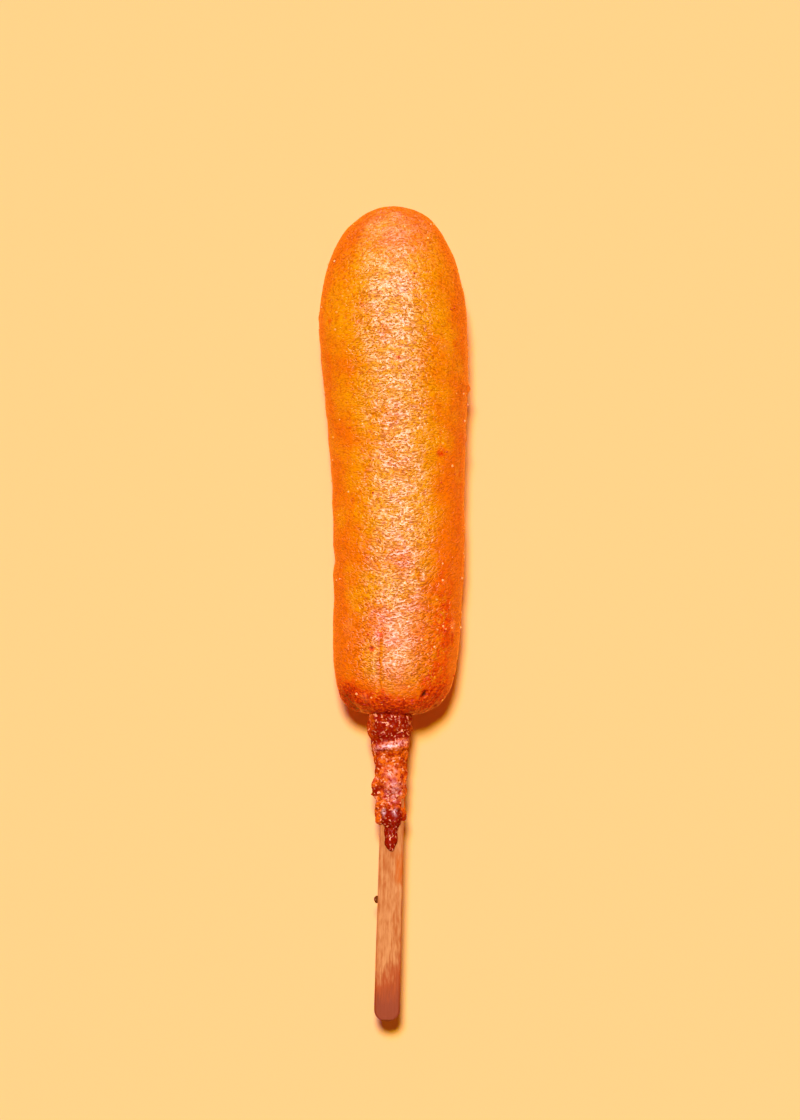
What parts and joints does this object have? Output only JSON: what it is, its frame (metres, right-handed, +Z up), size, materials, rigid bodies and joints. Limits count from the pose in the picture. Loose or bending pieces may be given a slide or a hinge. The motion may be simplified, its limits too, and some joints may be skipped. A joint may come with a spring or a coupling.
{
  "type": "corn dog",
  "caption": "Battered and fried sausage on a flat wooden stick, lying on its side: a round crusty body with a domed tip, a lumpy batter sleeve down the stick and a bare grip.",
  "frame": {"origin": "on the surface that the body rests on, under the middle of the bounding box", "axes": "+Y along the corn dog from the stick's grip end to the domed tip, +Z up out of the resting surface, +X across it"},
  "size_m": [0.0364, 0.1916, 0.0334],
  "materials": {
    "crust": "crisp fried cornmeal crust, slightly oily, finely wrinkled, darker and glossier at the stick end",
    "wood": "plain pale wood with fine grain, stained reddish brown at the grip end"
  },
  "bodies": {
    "root": {"fried_batter": "crust", "stick": "wood"}
  },
  "joints": []
}
